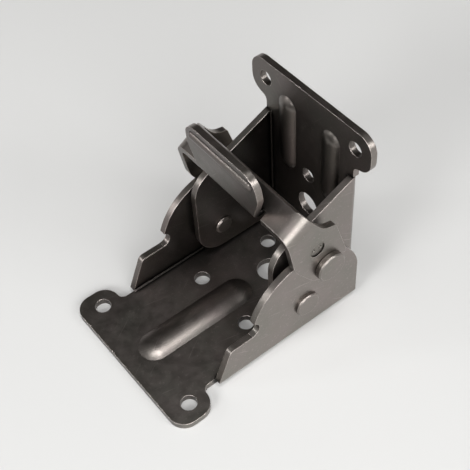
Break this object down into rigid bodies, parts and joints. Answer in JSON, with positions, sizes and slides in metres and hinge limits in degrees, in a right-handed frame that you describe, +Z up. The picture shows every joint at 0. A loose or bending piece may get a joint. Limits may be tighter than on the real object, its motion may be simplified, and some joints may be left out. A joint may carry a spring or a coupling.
{
  "type": "folding table leg bracket",
  "caption": "Pressed steel table leg bracket: a base channel and a leg channel hinged on rivets, with a tabbed lever that latches the leg upright.",
  "frame": {"origin": "on the underside of the base, straight below the hinge axis and midway between the cheeks", "axes": "+X towards the base's T shaped end, +Y across the bracket, +Z up from the table face"},
  "size_m": [0.0709, 0.0546, 0.0645],
  "materials": {
    "plated_sheet": "satin dark nickel plating",
    "plated_rivet": "satin dark nickel plating"
  },
  "bodies": {
    "base": {"base_channel": "plated_sheet", "pivot_rivet_near": "plated_rivet", "pivot_rivet_far": "plated_rivet", "pivot_washer_near": "plated_rivet", "pivot_washer_far": "plated_rivet", "lock_stud_near": "plated_rivet", "lock_stud_far": "plated_rivet"},
    "leg": {"leg_channel": "plated_sheet", "lever_pin_near": "plated_rivet", "lever_pin_far": "plated_rivet"},
    "lever": {"release_lever": "plated_sheet"}
  },
  "joints": [
    {"name": "leg_fold", "type": "hinge", "parent": "base", "child": "leg", "pos_m": [0, 0, 0.0122], "axis": [0, 1, 0], "range_deg": [0, 88]},
    {"name": "lever_squeeze", "type": "hinge", "parent": "leg", "child": "lever", "pos_m": [-0.0019, 0, 0.0368], "axis": [0, -1, 0], "range_deg": [0, 8], "stiffness_Nm_per_rad": 0.4, "springref_deg": -5.73}
  ]
}
